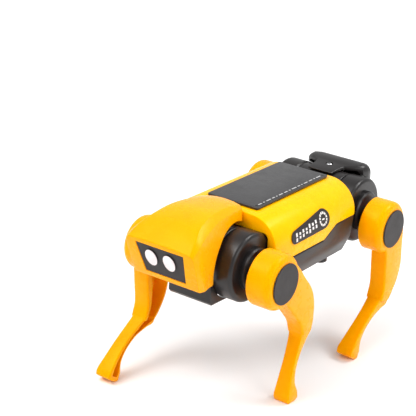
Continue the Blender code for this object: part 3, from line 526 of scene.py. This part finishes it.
def head_ring(station, inset=0.0, drop=0.0, push=0.0):
    """One section of the hood, leaning back below the brow."""
    y, wb, zb, ws, zs, wt, zc, rise, bevel, share = station
    wb, ws, wt, zc = wb - inset, ws - inset, wt - inset, zc - inset
    side = wt + (ws - wt) * bevel / (zc - zs)
    half = [(wb, zb - drop), (ws, zs), (side, zc - bevel),
            (wt - bevel, zc + 1.5 * rise * bevel / wt), (0.5 * wt, zc + 0.8 * rise)]
    ring = half + [(0.0, zc + rise)] + [(-x, z) for x, z in reversed(half)]
    return [(x, y + push + share * FACE_SLOPE * max(0.0, FACE_Z - z), z) for x, z in ring]


def make_head_shell():
    bm = bmesh.new()
    add_rings(bm, [head_ring(station) for station in curved(HEAD, 5)])
    obj = finish("head_shell", bm, YELLOW)
    round_edges(obj, 0.8, 4, 22)
    core = bmesh.new()
    rings = [head_ring(HEAD[0], HEAD_WALL, 12.0, 4.0)]
    rings += [head_ring(station, HEAD_WALL, 12.0) for station in HEAD[1:-2]]
    rings.append(head_ring(HEAD[-1], HEAD_WALL + 0.6, 12.0, FACE_WALL))
    add_rings(core, rings)
    boolean(obj, cutter("head_core", core))
    arch = turned([(-40.0, ARCH_R), (40.0, ARCH_R)], (0, -HIP_Y, DRUM_Z), 48, "X")
    boolean(obj, cutter("head_arch", arch))
    recess = face_prism(PLATE_TOP + 0.35, PLATE_LOW + 0.35, PLATE_HALF + 0.3, -4.0, 1.5)
    boolean(obj, cutter("face_recess", recess))
    return obj


def face_frame():
    """Origin and in-plane axes of the leaning face, at the plate's centre."""
    angle = math.atan(FACE_SLOPE)
    centre = Vector((0.0, FACE_Y + (FACE_Z - PLATE_Z) * FACE_SLOPE, PLATE_Z))
    up = Vector((0.0, -math.sin(angle), math.cos(angle)))
    inward = Vector((0.0, math.cos(angle), math.sin(angle)))
    return centre, up, inward


def face_prism(half_top, half_low, half_height, depth0, depth1):
    """Trapezoid block in the leaning face plane; depth is positive inward."""
    centre, up, inward = face_frame()
    corners = ((half_top, half_height), (-half_top, half_height),
               (-half_low, -half_height), (half_low, -half_height))
    bm = bmesh.new()
    add_rings(bm, [[centre + Vector((u, 0, 0)) + up * v + inward * depth for u, v in corners]
                   for depth in (depth0, depth1)])
    return bm


def make_face_plate():
    bm = face_prism(PLATE_TOP, PLATE_LOW, PLATE_HALF, 0.25, 1.2)
    return finish("face_plate", bm, DARK)


def make_eye(name, side):
    centre, up, inward = face_frame()
    rings = []
    for depth, grow in ((-0.05, 0.92), (-0.45, 1.0), (-0.7, 0.9)):
        ring = []
        for i in range(72):
            angle = 2.0 * math.pi * i / 72
            u = EYE_SHIFT + side * EYE_X + EYE_HALF_W * grow * math.cos(angle)
            v = EYE_UP + EYE_HALF_H * grow * math.sin(angle)
            ring.append(centre + Vector((u, 0, 0)) + up * v + inward * depth)
        rings.append(ring)
    bm = bmesh.new()
    add_rings(bm, rings)
    return finish(name, bm, EYE)


def make_chin_plate():
    """Block under the head, hollowed to clear the hip frame behind it."""
    outline = [(-76.2, 73.0), (-76.2, 62.0), (-74.6, 60.2), (-61.0, 59.8)]
    outline += arc_pts(-HIP_Y, DRUM_Z, CHIN_CLEAR, -106.5, -162.6, 6)
    obj = finish("chin_plate", prism_x(outline, CHIN_RIGHT, CHIN_LEFT), BLACK)
    round_edges(obj, 1.2, 4, 40)
    return obj


def frame_outline(sign, inset):
    """Side outline of a hip frame: round around the drum, square to the belly."""
    radius = FRAME_R - inset
    points = []
    for i in range(49):
        angle = math.radians(-98.0 - (360.0 - 150.0) * i / 48)
        points.append((radius * math.cos(angle), DRUM_Z + radius * math.sin(angle)))
    flat = FRAME_FLAT - inset
    points.append((flat, 92.6 - inset))
    points.append((flat, 62.4 + inset))
    return [(sign * (HIP_Y - y), z) for y, z in points]


def make_hip_frame(name, sign):
    """sign -1 is the front frame, +1 the rear one; both open to the belly."""
    obj = finish(name, prism_x(frame_outline(sign, 0.0), -FRAME_HALF, FRAME_HALF), BLACK)
    round_edges(obj, 0.8, 4, 50)
    inner = FRAME_HALF - FRAME_WALL
    boolean(obj, cutter(name + "_core", prism_x(frame_outline(sign, FRAME_WALL), -inner, inner)))
    y = sign * HIP_Y
    bore = turned([(-20.0, AXLE_BORE), (20.0, AXLE_BORE)], (0, y, AXLE_Z), 24, "X")
    boolean(obj, cutter(name + "_bore", bore))
    y_in = sign * 30.0
    hole = turned([(min(y, y_in), SHAFT_HOLE), (max(y, y_in), SHAFT_HOLE)],
                  (0, 0, WORM_Z), 24, "Y")
    boolean(obj, cutter(name + "_shaft_hole", hole))
    if sign > 0:
        screw_hole = turned([(90.0, PILOT_R), (100.0, PILOT_R)], (0, RUMP_SCREW_Y, 0), 12, "Z")
        boolean(obj, cutter(name + "_screw_hole", screw_hole))
    return obj


def make_drum(name, side, sign):
    y = sign * HIP_Y
    profile = [(DRUM_IN, DRUM_R - 1.0), (DRUM_IN + 1.0, DRUM_R), (DRUM_OUT - DRUM_ROUND, DRUM_R)]
    for i in range(1, 11):
        angle = math.radians(90.0 * i / 10)
        profile.append((DRUM_OUT - DRUM_ROUND + DRUM_ROUND * math.sin(angle),
                        DRUM_R - DRUM_ROUND + DRUM_ROUND * math.cos(angle)))
    profile.append((DRUM_OUT, STEP_R))
    profile.append((STEP_OUT - 0.8, STEP_R))
    profile.append((STEP_OUT, STEP_R - 0.8))
    profile = [(side * x, r) for x, r in profile]
    obj = finish(name, turned(profile, (0, y, DRUM_Z), 36), BLACK, origin=(0, y, DRUM_Z))
    bore = turned([(side * 10.0, AXLE_BORE), (side * 40.0, AXLE_BORE)], (0, y, AXLE_Z), 16)
    boolean(obj, cutter(name + "_bore", bore))
    return obj


THIGH = ((-2.0, -9.0), (4.6, -14.2), (11.6, -21.8), (19.2, -30.4), (21.6, -36.2), (22.8, -38.6),
         (26.6, -38.2), (31.2, -34.8), (31.8, -24.6), (30.4, -17.2), (27.2, -10.8), (20.4, -3.0),
         (13.4, 5.2), (6.0, 10.0))
THIGH_HOLLOW = ((8.6, -12.4), (14.6, -19.0), (20.6, -27.4), (23.0, -33.0), (24.0, -36.2), (26.6, -36.0),
                (29.3, -33.4), (29.8, -24.8), (28.4, -18.2), (25.6, -12.4), (18.8, -4.8), (14.8, -1.4))
# Shank stations: front (y, z), rear (y, z), inner and outer x.
SHANK = (((20.0, -30.0), (30.4, -30.0), 38.8, 47.2), ((22.0, -37.6), (32.4, -36.8), 38.8, 47.2),
         ((20.6, -43.0), (28.2, -41.6), 39.2, 47.2), ((17.8, -50.6), (22.9, -48.8), 39.6, 47.2),
         ((15.2, -58.6), (19.6, -57.4), 39.4, 47.2), ((13.6, -65.6), (19.0, -64.8), 38.8, 47.5),
         ((12.5, -71.8), (21.2, -70.4), 38.0, 48.0))
SHANK_HOLLOW = (((24.0, -34.0), (28.6, -33.0)), ((23.8, -38.2), (30.0, -36.6)),
                ((22.3, -43.0), (26.4, -41.6)), ((19.4, -50.6), (21.3, -48.8)),
                ((16.8, -58.6), (18.1, -57.4)), ((15.2, -65.6), (17.5, -64.8)),
                ((14.5, -71.0), (19.2, -70.4)), ((15.0, -73.8), (19.4, -73.4)))
HOLLOW_OUT = 45.8


def shank_ring(side, front, rear, x_in, x_out):
    return [(side * x_in, front[0], front[1]), (side * x_out, front[0], front[1]),
            (side * x_out, rear[0], rear[1]), (side * x_in, rear[0], rear[1])]


def shank_solid(side):
    """Shank and foot; the heel has a facet that is level when the leg is swung."""
    swing = math.radians(SWING_DEG)
    heel = (HEEL_Y + HEEL_FACET * math.cos(swing), SOLE_Z + HEEL_FACET * math.sin(swing))
    rings = [shank_ring(side, *station) for station in SHANK]
    rings.append(shank_ring(side, (12.4, -73.6), heel, 37.9, 48.0))
    rings.append(shank_ring(side, (13.2, SOLE_Z), (HEEL_Y, SOLE_Z), 38.1, 47.8))
    flat = [[value for point in ring for value in point] for ring in rings[:-2]]
    fine = [[tuple(row[k:k + 3]) for k in (0, 3, 6, 9)] for row in curved(flat, 5)]
    bm = bmesh.new()
    add_rings(bm, fine + rings[-2:])
    return bm


def shank_hollow(side):
    bm = bmesh.new()
    add_rings(bm, [shank_ring(side, front, rear, 30.0, HOLLOW_OUT) for front, rear in SHANK_HOLLOW])
    return bm


def cup_solid(side):
    profile = [(CUP_IN, CUP_R - 0.5), (CUP_IN + 0.5, CUP_R), (CUP_OUT - CUP_ROUND, CUP_R)]
    for i in range(1, 11):
        angle = math.radians(90.0 * i / 10)
        profile.append((CUP_OUT - CUP_ROUND + CUP_ROUND * math.sin(angle),
                        CUP_R - CUP_ROUND + CUP_ROUND * math.cos(angle)))
    return turned([(side * x, r) for x, r in profile], (0, 0, 0), 36)


def make_leg(name, side, sign, lift, angle):
    """The four legs are one moulding and its mirror image."""
    obj = finish(name, cup_solid(side), YELLOW)
    thigh = cutter(name + "_thigh", prism_x(curved(THIGH, 4, True), side * LEG_IN, side * CUP_OUT))
    round_edges(thigh, 1.3, 4, 40)
    boolean(obj, thigh, "UNION")
    shank = cutter(name + "_shank", shank_solid(side))
    round_edges(shank, 0.8, 3, 40)
    boolean(obj, shank, "UNION")
    floor_x = CUP_OUT - CUP_WALL
    cup = pipe_turned([(side * 30.0, BOSS_R), (side * 30.0, CUP_R - CUP_WALL),
                       (side * floor_x, CUP_R - CUP_WALL - 1.2), (side * floor_x, BOSS_R)], (0, 0, 0), 36)
    boolean(obj, cutter(name + "_cup_hollow", cup))
    face = turned([(side * 30.0, BOSS_R + 0.4), (side * 35.2, BOSS_R + 0.4)], (0, 0, 0), 36)
    boolean(obj, cutter(name + "_boss_face", face))
    bore = turned([(side * 30.0, BOSS_BORE), (side * 60.0, BOSS_BORE)], (0, 0, 0), 24)
    boolean(obj, cutter(name + "_bore", bore))
    hollow = prism_x(curved(THIGH_HOLLOW, 4, True), side * 30.0, side * floor_x)
    boolean(obj, cutter(name + "_thigh_hollow", hollow))
    boolean(obj, cutter(name + "_shank_hollow", shank_hollow(side)))
    for thing in [obj] + [mod.object for mod in obj.modifiers if mod.type == "BOOLEAN"]:
        thing.location = (0.0, sign * HIP_Y * MM, (AXLE_Z + lift) * MM)
        thing.rotation_euler = (math.radians(angle), 0.0, 0.0)
    return obj


def make_leg_cap(name, side, sign, lift):
    y = sign * HIP_Y
    z = AXLE_Z + lift
    x0 = CUP_OUT + 0.02 + GAP
    bm = turned([(side * x0, CAP_R), (side * (x0 + CAP_T - 0.2), CAP_R),
                 (side * (x0 + CAP_T), CAP_R - 0.2)], (0, y, z), 36)
    return finish(name, bm, DARK, origin=(0, y, z))


def rounded_rect(half_u, half_v, radius, steps=4):
    points = []
    for cu, cv, a0 in ((half_u - radius, half_v - radius, 0.0), (-half_u + radius, half_v - radius, 90.0),
                       (-half_u + radius, -half_v + radius, 180.0),
                       (half_u - radius, -half_v + radius, 270.0)):
        points += arc_pts(cu, cv, radius, a0, a0 + 90.0, steps)
    return points


def make_solar_panel():
    mid = 0.5 * (PANEL_Y0 + PANEL_Y1)
    half_y = 0.5 * (PANEL_Y1 - PANEL_Y0)
    outline = [(x, mid + y) for x, y in rounded_rect(0.5 * PANEL_W, half_y, 1.0, 3)]
    z0 = SHELL_TOP + GAP
    obj = finish("solar_panel", prism_z(outline, z0, z0 + PANEL_T), CELL)
    round_edges(obj, 0.3, 3, 60)
    groove = prism_z([(13.4, PANEL_Y0 + 2.2), (15.0, PANEL_Y0 + 2.2), (15.0, PANEL_Y1 - 2.2),
                      (13.4, PANEL_Y1 - 2.2)], z0 + PANEL_T - 0.35, z0 + PANEL_T + 2.0)
    boolean(obj, cutter("panel_groove", groove))
    return obj


def make_side_label(name, side):
    """Curved label that lies on the shell's side arc."""
    centre_z = SHELL_TOP - SHELL_RAD
    inner = []
    outer = []
    for i in range(33):
        angle = math.radians(-10.0 + 54.0 * i / 32)
        for ring, radius in ((inner, SHELL_RAD + 0.3), (outer, SHELL_RAD + 0.75)):
            if angle < 0.0:
                ring.append((side * (SHELL_FLAT + radius), centre_z + SHELL_RAD * angle))
            else:
                ring.append((side * (SHELL_FLAT + radius * math.cos(angle)),
                             centre_z + radius * math.sin(angle)))
    outline = inner + list(reversed(outer))
    obj = finish(name, prism_y(outline, -34.0, 14.0), DARK)
    trim = cutter(name + "_trim", prism_x(label_trim(), side * 20.0, side * 40.0))
    boolean(obj, trim, "INTERSECT")
    return obj


def label_trim():
    """Long drop outline, small at the front and large at the rear, in (y, z)."""
    return arc_pts(-25.6, 88.4, 3.6, 94.0, 262.0, 8) + arc_pts(3.0, 90.6, 5.4, -94.0, 94.0, 12)


def make_rump_cover():
    """Hood over the rear hips: a thin tongue in front, a wide hollow wing behind."""
    stations = ((50.0, 8.0, 98.6, 97.8, 0.5), (56.0, 8.6, 99.3, 97.8, 0.8), (62.0, 9.5, 99.9, 97.8, 1.2),
                (65.0, 15.0, 100.2, 96.5, 2.2), (68.0, 19.0, 100.4, 94.8, 3.6),
                (72.0, 20.0, 100.6, 92.5, 4.6), (76.0, 19.6, 99.6, 88.0, 5.0),
                (78.6, 18.0, 96.5, 86.5, 5.0))
    bm = bmesh.new()
    rings = []
    for y, half, top, low, radius in stations:
        corner = arc_pts(half - radius, top - radius, radius, 0.0, 90.0, 4)
        right = [(half, min(low, top - radius - 0.05))] + corner
        rings.append([(x, y, z) for x, z in right + [(-x, z) for x, z in reversed(right)]])
    add_rings(bm, rings)
    obj = finish("rump_cover", bm, BLACK)
    round_edges(obj, 0.6, 3, 45)
    for side in (1, -1):
        pocket = [(6.5, 80.0), (17.6, 80.0), (17.6, 96.0), (16.0, 97.6), (6.5, 97.6)]
        pocket = [(side * x, z) for x, z in pocket]
        boolean(obj, cutter("rump_pocket_%d" % (side + 1), prism_y(pocket, 58.0, 76.2)))
    rib = prism_y([(-6.6, 80.0), (6.6, 80.0), (6.6, 97.5), (-6.6, 97.5)], 67.0, 76.2)
    boolean(obj, cutter("rump_rib", rib))
    well = turned([(98.4, 2.1), (110.0, 2.1)], (0, RUMP_SCREW_Y, 0), 16, "Z")
    boolean(obj, cutter("rump_screw_well", well))
    hole = turned([(90.0, PILOT_R), (104.0, PILOT_R)], (0, RUMP_SCREW_Y, 0), 12, "Z")
    boolean(obj, cutter("rump_screw_hole", hole))
    return obj


def settled(obj, node, body, angle=30.0):
    """Apply the modifiers, put the mesh in the robot's own frame and let it ride."""
    bpy.context.view_layer.update()
    shown = obj.evaluated_get(bpy.context.evaluated_depsgraph_get())
    mesh = bpy.data.meshes.new_from_object(shown)
    mesh.transform(Matrix.Translation((0.0, SHIFT_Y, 0.0)) @ obj.matrix_world)
    tools = [mod.object for mod in obj.modifiers if mod.type == "BOOLEAN"]
    obj.modifiers.clear()
    obj.data = mesh
    obj.matrix_world = Matrix.Identity(4)
    for tool in tools:
        bpy.data.objects.remove(tool, do_unlink=True)
    mesh.shade_smooth()
    mesh.set_sharp_from_angle(angle=math.radians(angle))
    if node:
        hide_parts(node)
    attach(obj, body)
    return obj


def soften(obj, width):
    """A narrow bevel on the edges that the cuts left sharp."""
    mod = obj.modifiers.new("lip", "BEVEL")
    mod.width = width * MM
    mod.segments = 2
    mod.limit_method = "ANGLE"
    mod.angle_limit = math.radians(50.0)
    mod.harden_normals = True


DASH_X = 14.2                                # middle of the printed line
DASH_WIDTH = 0.8
DASH_GAP = 1.5
DASH_LENGTHS = (3.2, 1.4, 4.2, 2.2, 1.2, 3.6)
STROKE_Y = -25.4                             # first stroke on the label
STROKE_STEP = 3.2
STROKE_WIDTH = 1.5
STROKE_Z = 88.3
STROKE_CLIMB = 0.33                          # the row climbs towards the ring
STROKE_SPLIT = 0.35
STROKE_HEIGHTS = (2.4, 1.7, 2.1, 1.6, 2.5, 1.8, 2.2)
RING_Y = 2.0
RING_Z = 90.9
RING_IN = 2.7
RING_OUT = 3.9
RING_DASHES = 12
LABEL_LIFT = 0.75                            # outer face of the label above the shell


def block(y0, y1, z0, z1):
    return [(y0, z0), (y1, z0), (y1, z1), (y0, z1)]


def strip_dashes():
    """Fine silver dashes printed along the cell's bus line."""
    bm = bmesh.new()
    low = SHELL_TOP + GAP + PANEL_T - 0.3
    y = PANEL_Y0 + 4.0
    i = 0
    while y + DASH_LENGTHS[i % len(DASH_LENGTHS)] < PANEL_Y1 - 3.0:
        long = DASH_LENGTHS[i % len(DASH_LENGTHS)]
        outline = block(DASH_X - 0.5 * DASH_WIDTH, DASH_X + 0.5 * DASH_WIDTH, y, y + long)
        add_rings(bm, [[(u, v, z) for u, v in outline] for z in (low, low + 0.45)])
        y += long + DASH_GAP
        i += 1
    return finish("bus_dashes", bm, PRINT)


def mark_shapes():
    """Split strokes, a dashed ring and a bar in it, as (y, z) outlines."""
    shapes = []
    for i, tall in enumerate(STROKE_HEIGHTS):
        y = STROKE_Y + STROKE_STEP * i
        middle = STROKE_Z + STROKE_CLIMB * i
        shapes.append(block(y, y + STROKE_WIDTH, middle - tall, middle - STROKE_SPLIT))
        shapes.append(block(y, y + STROKE_WIDTH, middle + STROKE_SPLIT, middle + tall))
    step = 360.0 / RING_DASHES
    for i in range(RING_DASHES):
        start = math.radians(step * i + 3.0)
        end = math.radians(step * i + 24.0)
        corners = ((RING_IN, start), (RING_OUT, start), (RING_OUT, end), (RING_IN, end))
        shapes.append([(RING_Y + radius * math.cos(angle), RING_Z + radius * math.sin(angle))
                       for radius, angle in corners])
    shapes.append(block(RING_Y - 1.1, RING_Y + 1.1, RING_Z - 0.4, RING_Z + 0.4))
    return shapes


def label_marks(side):
    """A generic printed pattern, no letters, wrapped on the label's arc."""
    centre_z = SHELL_TOP - SHELL_RAD
    bm = bmesh.new()
    for shape in mark_shapes():
        rings = []
        for radius in (SHELL_RAD + LABEL_LIFT - 0.15, SHELL_RAD + LABEL_LIFT + 0.07):
            ring = []
            for y, z in shape:
                angle = math.asin(min(1.0, (z - centre_z) / (SHELL_RAD + LABEL_LIFT)))
                ring.append((side * (SHELL_FLAT + radius * math.cos(angle)), y,
                             centre_z + radius * math.sin(angle)))
            rings.append(ring)
        add_rings(bm, rings)
    return finish("label_marks_%s" % ("left" if side > 0 else "right"), bm, MARKS)


def dress(node, material):
    """Keep a CAD node as it is and give it its finish."""
    obj = bpy.data.objects[node]
    obj.data.materials.clear()
    obj.data.materials.append(MATERIALS[material])
    obj.data.shade_smooth()
    obj.data.set_sharp_from_angle(angle=math.radians(35.0))


def dress_hidden_parts():
    for node in ("motor_can", "motor_shaft", "front_axle", "rear_axle", "rump_screw"):
        dress(node, METAL)
    for i in range(4):
        dress("belly_screw_%d" % (i + 1), METAL)
    for node in ("motor_tail", "worm_front", "worm_rear", "worm_wheel_front", "worm_wheel_rear"):
        dress(node, CREAM)
    dress("motor_cradle", BLACK)
    dress("solar_bus_strip", BLACK)
    dress("wire_red", RED_WIRE)
    dress("wire_black", BLACK_WIRE)
    for end in ("front", "rear"):
        for half in ("left", "right"):
            dress("crank_%s_%s" % (end, half), BLACK)
            dress("leg_carrier_%s_%s" % (end, half), CREAM)
            dress("leg_screw_%s_%s" % (end, half), METAL)


def build_looks():
    for make, node in ((make_top_shell, "top_shell"), (make_belly_tray, "belly_tray"),
                       (make_head_shell, "head_shell"), (make_face_plate, "face_plate"),
                       (make_chin_plate, "chin_plate"), (make_solar_panel, "solar_panel"),
                       (make_rump_cover, "rump_cover")):
        obj = settled(make(), node, "chassis")
        if node == "head_shell":
            # the head gets the yellow with painted shade
            obj.data.materials[0] = MATERIALS[HEAD_PAINTED_SHADE]
        if node in ("top_shell", "head_shell"):
            soften(obj, 0.25)
    settled(strip_dashes(), None, "chassis")
    for side, half in ((1, "left"), (-1, "right")):
        settled(make_eye("eye_" + half, side), "eye_" + half, "chassis", 60.0)
        settled(make_side_label("side_label_" + half, side), "side_label_" + half, "chassis")
        settled(label_marks(side), None, "chassis")
    for end, sign in (("front", -1), ("rear", 1)):
        settled(make_hip_frame(end + "_hip_frame", sign), end + "_hip_frame", "chassis")
        for side, half in ((1, "left"), (-1, "right")):
            tag = "%s_%s" % (end, half)
            upright = (end == "front") == (half == "left")
            lift = CRANK_E if upright else -CRANK_E
            swing = 0.0 if upright else -SWING_DEG
            settled(make_drum("hip_drum_" + tag, side, sign), "hip_drum_" + tag, "chassis")
            leg = settled(make_leg("leg_" + tag, side, sign, lift, swing), "leg_" + tag, "leg_" + tag)
            # the legs get the yellow with painted shade
            leg.data.materials[0] = MATERIALS[LEG_PAINTED_SHADE]
            soften(leg, 0.3)
            settled(make_leg_cap("leg_cap_" + tag, side, sign, lift), "leg_cap_" + tag, "leg_" + tag)


def add_area(name, place, aim, size, power):
    data = bpy.data.lights.new(name, "AREA")
    data.shape = "RECTANGLE"
    data.size = size[0]
    data.size_y = size[1]
    data.energy = power
    obj = bpy.data.objects.new(name, data)
    obj.location = place
    obj.rotation_euler = (Vector(aim) - Vector(place)).to_track_quat("-Z", "Y").to_euler()
    bpy.context.scene.collection.objects.link(obj)


def add_sky_lamp():
    """Broad, even light that keeps the far floor as pale as the near one."""
    data = bpy.data.lights.new("sky_lamp", "SUN")
    data.energy = 0.85
    data.angle = math.radians(60.0)
    obj = bpy.data.objects.new("sky_lamp", data)
    obj.rotation_euler = (math.radians(25.0), math.radians(-18.0), 0.0)
    bpy.context.scene.collection.objects.link(obj)


def make_floor():
    bm = bmesh.new()
    bmesh.ops.create_grid(bm, x_segments=1, y_segments=1, size=30.0)
    mesh = bpy.data.meshes.new("floor")
    bm.to_mesh(mesh)
    bm.free()
    floor = bpy.data.objects.new("floor", mesh)
    bpy.context.scene.collection.objects.link(floor)
    mat = bpy.data.materials.new("floor_white")
    mat.use_nodes = True
    shader = mat.node_tree.nodes["Principled BSDF"]
    shader.inputs["Base Color"].default_value = (0.93, 0.93, 0.93, 1.0)
    shader.inputs["Roughness"].default_value = 0.75
    mesh.materials.append(mat)


def make_studio():
    """An even white room, a sky lamp and three soft panels."""
    world = bpy.data.worlds.new("studio")
    world.use_nodes = True
    background = world.node_tree.nodes["Background"]
    background.inputs["Color"].default_value = (1.0, 1.0, 1.0, 1.0)
    background.inputs["Strength"].default_value = 0.7
    bpy.context.scene.world = world
    bpy.context.scene.view_settings.view_transform = "Standard"
    add_sky_lamp()
    add_area("key", (-0.35, -0.55, 0.95), (0.0, 0.0, 0.06), (0.5, 0.5), 5.5)
    add_area("side", (0.95, -0.15, 0.55), (0.0, 0.0, 0.07), (0.6, 0.45), 3.2)
    add_area("rim", (0.42, 0.50, 0.85), (0.0, -0.05, 0.09), (0.4, 0.3), 4.5)


CAMERA_PLACE = (0.38267, -0.59356, 0.36423)    # metres, from between the hips
CAMERA_AZIMUTH = 35.63
CAMERA_ELEVATION = 21.46
CAMERA_ROLL = 2.9
CAMERA_LENS = 117.5


def make_camera():
    azimuth = math.radians(CAMERA_AZIMUTH)
    elevation = math.radians(CAMERA_ELEVATION)
    roll = math.radians(CAMERA_ROLL)
    level = math.cos(elevation)
    view = Vector((-math.sin(azimuth) * level, math.cos(azimuth) * level, -math.sin(elevation)))
    right = Vector((math.cos(azimuth), math.sin(azimuth), 0.0))
    up = right.cross(view)
    across = math.cos(roll) * right + math.sin(roll) * up
    over = -math.sin(roll) * right + math.cos(roll) * up
    data = bpy.data.cameras.new("camera")
    data.lens = CAMERA_LENS
    data.sensor_width = 36.0
    camera = bpy.data.objects.new("camera", data)
    bpy.context.scene.collection.objects.link(camera)
    axes = Matrix((across, over, -view)).transposed().to_4x4()
    place = Vector(CAMERA_PLACE) + Vector((0.0, SHIFT_Y, 0.0))
    camera.matrix_world = Matrix.Translation(place) @ axes
    bpy.context.scene.camera = camera


build_looks()
dress_hidden_parts()
make_floor()
make_studio()
make_camera()
